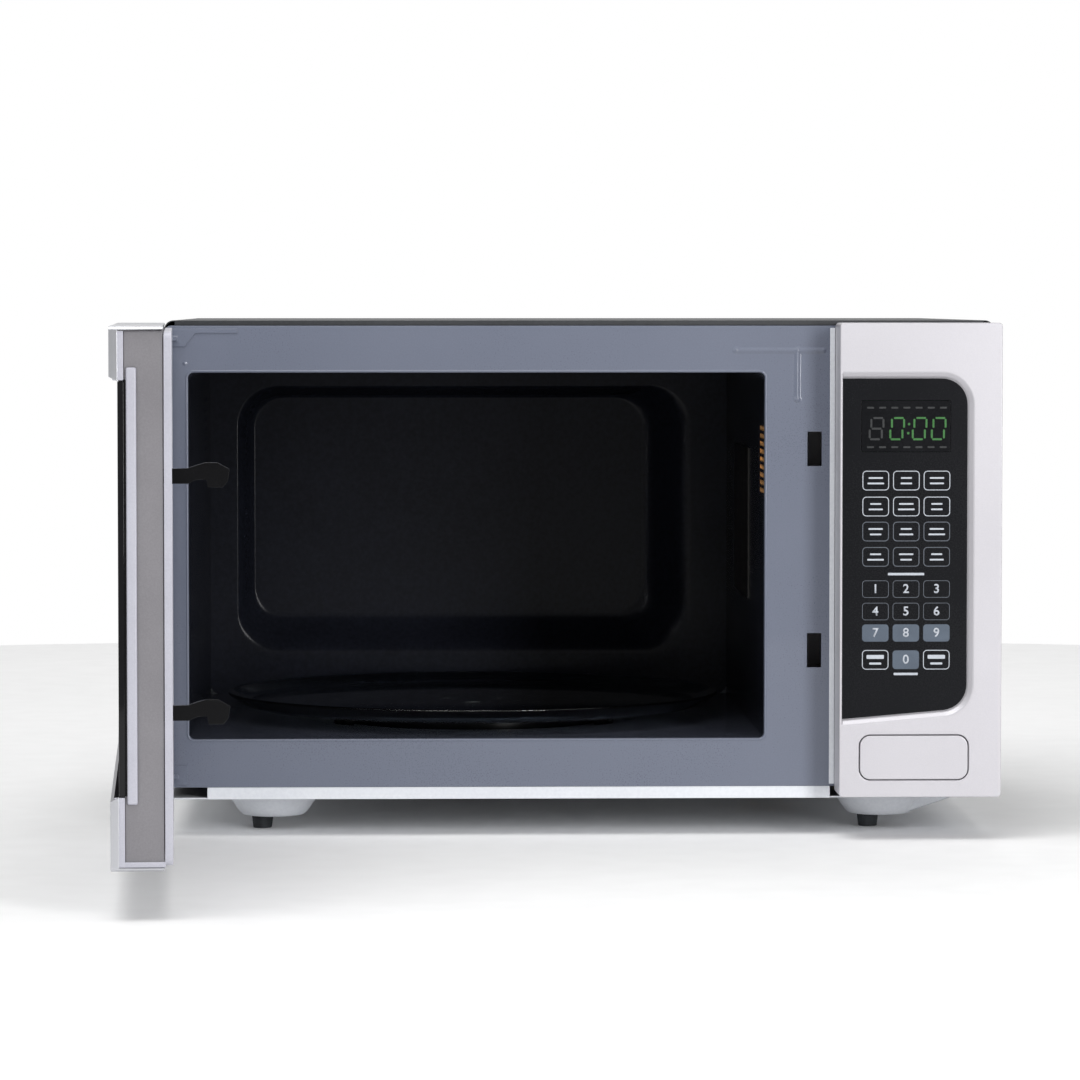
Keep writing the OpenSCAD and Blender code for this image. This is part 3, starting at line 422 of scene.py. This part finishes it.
# Rolled aluminium: pale and fairly bright, with a fine grain drawn out into level lines.
fins_aluminium = finish_of(
    "pressed_fin_aluminium", "#c9ccd0", "#b0b4b9", (0.25, 0.4), 30, 1.2, 0.003, (1, 1, 12), **{
        "Metallic": 1.0})
# Varnished steel laminations: dark brown, with the edges of the stacked sheets as thin level lines.
laminations = finish_of(
    "varnished_laminations", "#3b3330", "#241f1d", (0.35, 0.55), 20, 0.6, 0.03, (1, 1, 14), **{
        "Metallic": 0.6})
# Enamelled copper wire: reddish turns side by side, drawn as a stretched relief.
copper_wire = finish_of(
    "enamelled_copper_wire", "#a85a2a", "#7a3c1a", (0.25, 0.4), 12, 0.9, 0.12, (12, 1, 1), **{
        "Metallic": 0.9})
# Circuit board laminate: green lacquer over glass cloth, half glossy.
circuit_laminate = finish_of("circuit_laminate", "#2c6b3e", "#1f5230", (0.3, 0.45), 18, 1.5, 0.02)
# Zinc plating: a thin bright coat that shines more than galvanised sheet.
plated_zinc = finish_of("zinc_plating", "#c6c9cd", "#a7abb0", (0.2, 0.35), 10, 1.0, 0.003, **{
    "Metallic": 1.0})
# Fired ceramic: off-white, dull and slightly grainy.
fired_ceramic = finish_of("fired_ceramic", "#ded6c6", "#cbc2b0", (0.45, 0.6), 14, 0.8, 0.01)
# Moulded nylon: dark grey, with a soft half-matt skin.
fan_nylon = finish_of("fan_nylon", "#34363a", "#26282b", (0.4, 0.55), 22, 0.7, 0.01)
# Black moulded ABS from a polished tool: deep black, glossy, with its sheen held low.
black_moulding = finish_of("black_abs_moulding", "#0b0b0d", "#070709", (0.18, 0.28), 24, 0.7, 0.002, **{
    "Specular IOR Level": 0.14})
# Moulded acetal: milky white, with a waxy half shine.
white_acetal = finish_of("white_acetal", "#e6e4dd", "#d8d5cc", (0.35, 0.5), 24, 0.8, 0.006)
# Grey moulded ABS from a lightly grained tool: an even, half-matt mid grey.
grey_moulding = finish_of("grey_abs_moulding", "#7b797d", "#727074", (0.42, 0.56), 40, 0.9, 0.012)
for material, nodes in (
    (mica, ("waveguide_cover",)),
    (galvanised, (
        "waveguide", "magnetron_yoke", "capacitor_clamp", "air_duct", "turntable_motor", "rear_panel")),
    (fins_aluminium, ("magnetron_fins", "capacitor")),
    (laminations, ("transformer_core", "fan_motor")),
    (copper_wire, ("transformer_coils",)),
    (circuit_laminate, ("filter_board", "control_board")),
    (plated_zinc, ("magnetron_antenna", "turntable_shaft", "cover_screws", "latch_spring")),
    (fired_ceramic, ("thermal_cutouts",)),
    (fan_nylon, ("fan_blades",)),
    (black_moulding, ("fan_shroud", "interlock_switches", "turntable_coupler")),
    (white_acetal, ("release_lever",)),
    (grey_moulding, ("latch_board", "display_module")),
    (foot_rubber, ("cord_gland",)),
):
    for node in nodes:
        paint_node(node, material)


# Turntable: a round tray of clear pressed glass on a moulded ring with three rollers. Its rim and
# foot rings are thick enough to show as bright and dark circles.
# Clear pressed glass: very faintly green, with soft waves from the mould.
tray_glass = finish_of("tray_pressed_glass", "#eef5f3", "#e4eeeb", (0.02, 0.06), 50, 6, 0.01, **{
    "Transmission Weight": 1.0, "IOR": 1.5})
tray = soften(copy_of("glass_tray", "turntable_tray"), 0.6, 3, 28, 60)
fit(tray, "glass_tray", tray_glass, "tray_glass", "glass_tray")
ring = soften(copy_of("roller_ring", "roller_carrier"), 0.4, 2, 32, 45)
fit(ring, "roller_ring", black_moulding, "black_moulding", "roller_ring")
for number in (1, 2, 3):
    wheel = soften(copy_of(f"roller_{number}", f"roller_wheel_{number}"), 0.4, 2, 32, 45)
    fit(wheel, f"roller_{number}", black_moulding, "black_moulding", f"roller_{number}")


# Cabinet cover: one steel sheet folded over both sides and the top, held by screws. It is powder coated
# satin black, which leaves a fine orange peel that breaks up its highlights.
cover_coat = finish_of("cover_powder_coat", "#2b2d31", "#212327", (0.38, 0.5), 80, 1.6, 0.03)
cover = soften(copy_of("cabinet_cover", "cover_wrap", quads=True), 0.3, 2, 32, 45)
fit(cover, "cabinet", cover_coat, "cover_paint", "cabinet_cover")


# Control panel: a silver-painted moulding with a sunk field for the key sheet and a mouth for the
# release button.
# Silver paint on moulded ABS: a pale warm grey with a little metal in it, under a thin clear coat.
panel_paint = finish_of("panel_silver_paint", "#c1bfc4", "#bbb9be", (0.3, 0.4), 140, 0.8, 0.003, **{
    "Metallic": 0.25, "Coat Weight": 0.2})
panel = soften(copy_of("control_panel_housing", "panel_moulding"), 0.7, 3, 30, 40)
fit(panel, "cabinet", panel_paint, "silver_moulding", "control_panel_housing")
button = soften(copy_of("release_button", "release_key"), 0.7, 3, 30, 40)
fit(button, "release_button", panel_paint, "silver_moulding", "release_button")
# The button's return spring sits against its rear seat and closes up as the button is pressed; here it
# keeps its shape, on a mesh of its own.
spring = soften(copy_of("button_spring", "return_spring"), 0, smooth=40)
fit(spring, "cabinet", plated_zinc, "galvanised_steel", "button_spring")
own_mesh(spring)

# Polyester sheet printed black from behind: flat and glossy, with its sheen held low.
key_sheet = finish_of("key_sheet_gloss_polyester", "#0e0f13", "#0b0c10", (0.24, 0.3), 60, 0.8, 0.002, **{
    "Specular IOR Level": 0.14})
sheet = soften(copy_of("keypad_overlay", "key_sheet"), 0.2, 2, 30, 40)
fit(sheet, "cabinet", key_sheet, "key_sheet", "keypad_overlay")


# Key print: white ink on the face of the key sheet. Number keys carry their digits; the function keys
# have plain bars, since they are left without lettering.
ink_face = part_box("keypad_overlay")[0][1]
# Screen-printed inks: matt and even, a bright one, a faint one and a slate fill behind some numbers.
white_ink = finish_of("key_white_ink", "#b9bec6", "#adb2bb", (0.35, 0.5), 12, 0.6, 0.002)
dim_ink = finish_of("key_dim_ink", "#565c66", "#4c525b", (0.35, 0.5), 12, 0.6, 0.002)
number_ink = finish_of("key_number_fill", "#4c5867", "#434e5c", (0.3, 0.42), 12, 0.6, 0.002)


def printed(name, x, z, width, height, radius, line, ink, lift=0.06):
    """A printed rounded shape centred at x, z: a ring of line mm, or filled where line is 0."""
    bpy.ops.object.select_all(action="DESELECT")
    bpy.ops.mesh.primitive_plane_add(size=1, location=(0, 0, 0))
    mark = bpy.context.active_object
    mark.name = name
    mark.scale = (width / 1000, height / 1000, 1)
    bpy.ops.object.transform_apply(location=True, rotation=True, scale=True)
    bpy.ops.object.mode_set(mode="EDIT")
    bpy.ops.mesh.select_all(action="SELECT")
    bpy.ops.mesh.bevel(offset=radius / 1000, segments=6, affect="VERTICES")
    if line:
        bpy.ops.mesh.select_all(action="SELECT")
        bpy.ops.mesh.inset(thickness=line / 1000)
        bpy.ops.mesh.delete(type="FACE")
    bpy.ops.object.mode_set(mode="OBJECT")
    return lay_on(mark, x, z, ink, lift)


def lay_on(mark, x, z, ink, lift):
    """Stands a flat mark up on the key sheet, its place in its mesh, and gives it a hair of thickness."""
    spot = at(x, 0, z)
    mark.data.transform(Matrix.Translation((spot.x, ink_face - lift / 1000, spot.z)) @ stand_up)
    thicken(mark, 0.04, offset=0)
    mark.data.materials.clear()
    mark.data.materials.append(ink)
    return mark


def digit(name, character, x, z, height, ink, lift=0.1):
    """One printed numeral of a height in mm, made a mesh before it is placed."""
    height_share = 0.7
    bpy.ops.object.select_all(action="DESELECT")
    bpy.ops.object.text_add(location=(0, 0, 0))
    mark = bpy.context.active_object
    mark.name = name
    mark.data.body, mark.data.align_x, mark.data.align_y = character, "CENTER", "CENTER"
    mark.data.size, mark.data.offset = height / height_share / 1000, 0.00014
    bpy.ops.object.convert(target="MESH")
    bpy.ops.object.mode_set(mode="EDIT")
    bpy.ops.mesh.select_all(action="SELECT")
    bpy.ops.mesh.remove_doubles(threshold=0.00003)
    bpy.ops.mesh.dissolve_degenerate(threshold=0.00001)
    bpy.ops.mesh.delete_loose()
    bpy.ops.object.mode_set(mode="OBJECT")
    return lay_on(bpy.context.active_object, x, z, ink, lift)


def gather(marks, name, body):
    """Joins marks of one ink into one piece on a body."""
    bpy.ops.object.select_all(action="DESELECT")
    for mark in marks:
        mark.select_set(True)
    bpy.context.view_layer.objects.active = marks[0]
    bpy.ops.object.join()
    piece = bpy.context.active_object
    piece.name = name
    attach(piece, body)
    return piece


columns = (193.6, 213.8, 234.0)
number_rows = (166.6, 151.8, 137.6)
last_row = 119.9
key_width, digit_height = 17.5, 5.8
bright, faint, filled = [], [], []
for row, (z, ink_list, ink) in enumerate((
    (238.2, bright, white_ink), (221.1, bright, white_ink), (204.6, faint, dim_ink), (187.9, faint, dim_ink),
)):
    for column, x in enumerate(columns):
        ink_list.append(printed("key_ring", x, z, key_width, 12.9, 2.6, 0.5, ink))
        upper_bar = 9.5 - 2.2 * ((row + column) % 2)
        lower_bar = 11.0 - 1.7 * ((row + 2 * column) % 3)
        for line, length in ((1.7, upper_bar), (-1.9, lower_bar)):
            bright.append(printed("key_bar", x, z + line, length, 1.1, 0.4, 0, white_ink))
for count, character in enumerate("123456789"):
    x, z = columns[count % 3], number_rows[count // 3]
    if count < 6:
        faint.append(printed("key_ring", x, z, key_width, 11.4, 2.2, 0.35, dim_ink))
    else:
        filled.append(printed("key_fill", x, z, key_width, 11.4, 2.2, 0, number_ink))
    bright.append(digit("key_digit", character, x, z, digit_height, white_ink))
filled.append(printed("key_fill", columns[1], last_row, key_width, 12.4, 2.2, 0, number_ink))
bright.append(digit("key_digit", "0", columns[1], last_row, digit_height, white_ink))
for x in (columns[0], columns[2]):
    bright.append(printed("key_ring", x, last_row, key_width, 12.9, 2.6, 0.5, white_ink))
    bright.append(printed("key_bar", x, 121.8, 11.5, 2.6, 0.6, 0, white_ink))
    bright.append(printed("key_bar", x, 117.4, 8.0, 1.4, 0.5, 0, white_ink))
for x, z, width in ((213.8, 176.5, 24), (213.8, 110.5, 16)):
    bright.append(printed("key_caption", x, z, width, 1.6, 0.5, 0, white_ink))
gather(bright, "key_print_white", "cabinet")
gather(faint, "key_print_dim", "cabinet")
gather(filled, "key_print_fill", "cabinet")


# Display: four seven-bar digits that shine green through a smoked window. The first place is unlit and
# its bars only just show.
# Smoked acrylic: almost black until it is lit, smooth, with its sheen held low.
smoked = finish_of("display_smoked_acrylic", "#0c0d11", "#0a0b0e", (0.2, 0.28), 40, 2.0, 0.001, **{
    "Specular IOR Level": 0.13})
window = soften(copy_of("display_window", "display_lens"), 0.2, 2, 30, 40)
fit(window, "cabinet", smoked, "smoked_window", "display_window")
# Lit bars: their own faint green glow stands in for the display's light. The unlit ones stay grey.
lit = finish_of("display_lit_bar", "#245f24", "#1e541f", (0.3, 0.4), 10, 1, 0.001, **{
    "Emission Color": linear("#3ea832"), "Emission Strength": 0.1})
unlit = finish_of("display_unlit_bar", "#181b1e", "#15181a", (0.3, 0.4), 10, 1, 0.001)


def seven_bars(x, z, lit_bars, ink):
    """The bars of one digit, 9.4 by 15.4 mm and leaning a little, as the display is made."""
    made = []
    lean = 0.15
    for bar, (dx, dz, upright) in enumerate((
        (0, 7, 0), (4, 3.5, 1), (4, -3.5, 1), (0, -7, 0), (-4, -3.5, 1), (-4, 3.5, 1), (0, 0, 0),
    )):
        if bar in lit_bars:
            size = (1.3, 5.8) if upright else (6.4, 1.3)
            made.append(printed("display_bar", x + dx + dz * lean, z + dz, *size, 0.5, 0, ink, 0.08))
    return made


digits_z = 272.4
shining, resting = [], seven_bars(194.0, digits_z, range(7), unlit)
for x in (207.6, 222.4, 235.0):
    shining += seven_bars(x, digits_z, (0, 1, 2, 3, 4, 5), lit)
for dz in (-3, 3):
    shining.append(printed("display_dot", 215.2 + dz * 0.09, digits_z + dz, 1.6, 1.6, 0.7, 0, lit, 0.08))
for x in (190, 198, 206, 214, 222, 230, 238):
    resting += [printed("display_sign", x, z, 4.6, 1.2, 0.4, 0, unlit, 0.08) for z in (286.2, 260.2)]
gather(shining, "display_lit_digits", "cabinet")
gather(resting, "display_unlit_signs", "cabinet")


# Door: brushed stainless skin, black printed glass, a grey middle frame, a painted inner pressing and
# a light moulded ring over its choke channel. Every piece turns with the door on two pins.
# Brushed stainless: a bright grey metal whose fine grain is drawn out into level lines.
brushed = finish_of(
    "door_brushed_stainless", "#c9cace", "#c3c4c9", (0.27, 0.33), 200, 0.9, 0.003, (1, 1, 30), **{
        "Metallic": 1.0})
# Glass printed black from behind: flat, with a sharp and even reflection.
printed_glass = finish_of("door_printed_glass", "#0e0e11", "#0a0a0c", (0.02, 0.06), 60, 8, 0.001, **{
    "Coat Weight": 0.1, "Coat Roughness": 0.02, "Specular IOR Level": 0.25})
# Baked paint on the inner pressing: an even light grey, half matt.
door_enamel = finish_of("door_inner_paint", "#a4a6ad", "#999ba2", (0.35, 0.48), 60, 1.4, 0.01)
# Light moulded ABS: pale grey, with a soft skin from the mould.
light_moulding = finish_of("choke_ring_light_abs", "#b3b3bd", "#aaaab4", (0.32, 0.44), 40, 0.9, 0.008)
# Black enamelled sheet punched all over with round holes. They are a pattern here, drawn coarser than
# real ones so that they show, as darker, glossier dots in rows with the dark glass behind them.
hole_pitch_mm = 2.6
screen_steel = blank("screen_black_enamel")
spot = add(screen_steel, "ShaderNodeTexCoord").outputs["Object"]
axes = add(screen_steel, "ShaderNodeSeparateXYZ", {"Vector": spot})
waves = []
for axis in ("Y", "Z"):
    turned = add(screen_steel, "ShaderNodeMath", {
        0: axes.outputs[axis], 1: 2 * math.pi * 1000 / hole_pitch_mm}, operation="MULTIPLY")
    waves.append(add(screen_steel, "ShaderNodeMath", {0: turned.outputs[0]}, operation="SINE"))
crest = add(screen_steel, "ShaderNodeMath", {0: waves[0].outputs[0], 1: waves[1].outputs[0]}, operation="ADD")
hole = add(screen_steel, "ShaderNodeMapRange", {"Value": crest.outputs[0], "From Min": 0.1, "From Max": 0.5})
punched = add(screen_steel, "ShaderNodeValToRGB", {"Fac": hole.outputs[0]}, stops=[
    (0.0, linear("#2d2d31")), (1.0, linear("#060607"))])
sheen = add(screen_steel, "ShaderNodeMapRange", {"Value": hole.outputs[0], "To Min": 0.42, "To Max": 0.12})
steel = add(screen_steel, "ShaderNodeBsdfPrincipled", {
    "Base Color": punched.outputs[0], "Roughness": sheen.outputs[0]})
add(screen_steel, "ShaderNodeOutputMaterial", {"Surface": steel.outputs[0]})
# Clear polyester film: thin and colourless, so only a faint reflection shows.
film = finish_of("clear_polyester_film", "#f2f5f6", "#e9eef0", (0.03, 0.08), 50, 6, 0.002, **{
    "Transmission Weight": 1.0, "IOR": 1.5})
for node, name, width, material, slot in (
    ("door_glass", "door_front_glass", 0.3, printed_glass, "black_glass"),
    ("door_mid_frame", "door_middle_frame", 0.5, grey_moulding, "grey_moulding"),
    ("door_inner_panel", "door_inner_pressing", 0.2, door_enamel, "door_steel"),
    ("door_screen", "door_shield_screen", 0.1, screen_steel, "screen_black"),
    ("door_film", "door_clear_film", 0.05, film, "clear_film"),
    ("door_choke_cover", "door_choke_ring", 0.5, light_moulding, "light_moulding"),
    ("door_hinge_ears", "door_hinge_lugs", 0.3, grey_moulding, "grey_moulding"),
):
    fit(soften(copy_of(node, name), width, 2), "door", material, slot, node)
fit(soften(copy_of("door_bezel", "door_skin", merge=0.4), 0.3, 2), "door", brushed, "stainless", "door_bezel")


# Door edge: light moulded bars border the middle frame's flat grey field on the free edge, with a dark
# gasket beside the glass. They are drawn with the door shut, then turned with it about the hinge pins.
hinge = [joint for joint in frame["joints"] if joint["name"] == "door_hinge"][0]
skin_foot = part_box("door_bezel")[0][2] * 1000
pivot = Vector(hinge["pos_m"])
opening = Matrix.Rotation(-math.radians(hinge["range_deg"][1]), 4, "Z")
swing = Matrix.Translation(pivot) @ opening @ Matrix.Translation(-pivot)


def bar_on_door(name, x, y, z, width, material):
    """A rounded bar between two corners in mm, in the door's shut place, then turned to where it stands."""
    bar = soften(block(name, x, y, z), width, 3)
    bar.data.transform(swing)
    return fit(bar, "door", material, "light_moulding")


foot_gap = skin_foot + 2.2
bar_on_door("edge_border_glass_side", (165.9, 167.7), (-27.3, -21.2), (67.5, 318.5), 1.2, light_moulding)
bar_on_door("edge_band_head", (165.4, 167.4), (-34.8, -28.6), (311, 339.4), 0.5, light_moulding)
bar_on_door("edge_band_foot", (165.4, 167.4), (-34.8, -28.6), (foot_gap, 71.6), 0.5, light_moulding)
bar_on_door("edge_gasket", (165.8, 167.2), (-28.9, -27.2), (72.5, 311.5), 0.3, black_moulding)
bar_on_door("edge_border_foot", (166.0, 167.2), (-31, -5.2), (foot_gap, skin_foot + 5.4), 0.5, light_moulding)

# The two latch hooks slide up and down together. They enter the plate's slots when the door is shut.
hooks = soften(copy_of("latch_hooks", "latch_hook_pair"), 0.3, 3, 30, 50)
fit(hooks, "door_latch", black_moulding, "black_moulding", "latch_hooks")


# Studio: a plain pale floor under a white sky, with a long lens in front. Soft lights stand overhead
# and at the front right, a weak one at the left, and one high up behind.
bpy.ops.object.select_all(action="DESELECT")
bpy.ops.mesh.primitive_circle_add(vertices=128, radius=1.9, fill_type="NGON", location=(0, 0, 0))
floor = bpy.context.active_object
floor.name = "studio_floor"
# Matt white paper: it gives even, soft shadows and no reflections.
floor_paper = finish_of("studio_paper", "#fbfbfb", "#f7f7f7", (0.8, 0.9), 400, 30, 0.01)
floor.data.materials.append(floor_paper)
# The sky looks white behind the oven, but gives less than half as much light to what it shines on.
sky_light, sky_seen = 0.45, 1.0
sky = bpy.data.worlds.new("studio_sky")
bpy.context.scene.world = sky
sky.use_nodes = True
backdrop = sky.node_tree.nodes["Background"]
backdrop.inputs["Color"].default_value = (1, 1, 1, 1)
ray = add(sky, "ShaderNodeLightPath")
level = add(sky, "ShaderNodeMapRange", {
    "Value": ray.outputs["Is Camera Ray"], "To Min": sky_light, "To Max": sky_seen})
sky.node_tree.links.new(level.outputs[0], backdrop.inputs["Strength"])


def soft_light(name, place, target, width, height, power):
    """A rectangular light at a place in metres, turned to a target, with its power in watts."""
    lamp = bpy.data.lights.new(name, "AREA")
    lamp.shape, lamp.size, lamp.size_y, lamp.energy = "RECTANGLE", width, height, power
    holder = bpy.data.objects.new(name, lamp)
    bpy.context.scene.collection.objects.link(holder)
    holder.location = place
    holder.rotation_euler = (Vector(target) - Vector(place)).to_track_quat("-Z", "Y").to_euler()


soft_light("light_above", (-0.4, -0.8, 2.2), (0, 0.1, 0.2), 1.6, 1.6, 30)
soft_light("light_right", (1.35, -2.55, 0.75), (0, 0, 0.2), 0.6, 1.4, 42)
soft_light("light_left", (-1.8, -2.2, 0.9), (0, 0, 0.2), 1.0, 1.0, 5)
soft_light("light_behind", (0, 1.9, 1.9), (0, 1.0, 0), 1.8, 1.8, 15)

lens = bpy.data.cameras.new("long_lens")
lens.lens, lens.sensor_width = 162.7, 36
camera = bpy.data.objects.new("camera", lens)
bpy.context.scene.collection.objects.link(camera)
camera.location = at(-119.9, -3240, 356.3)
aim = at(-26.6, 0, 197.6)
camera.rotation_euler = (aim - camera.location).to_track_quat("-Z", "Y").to_euler()
bpy.context.scene.camera = camera
bpy.context.scene.view_settings.view_transform = "Standard"
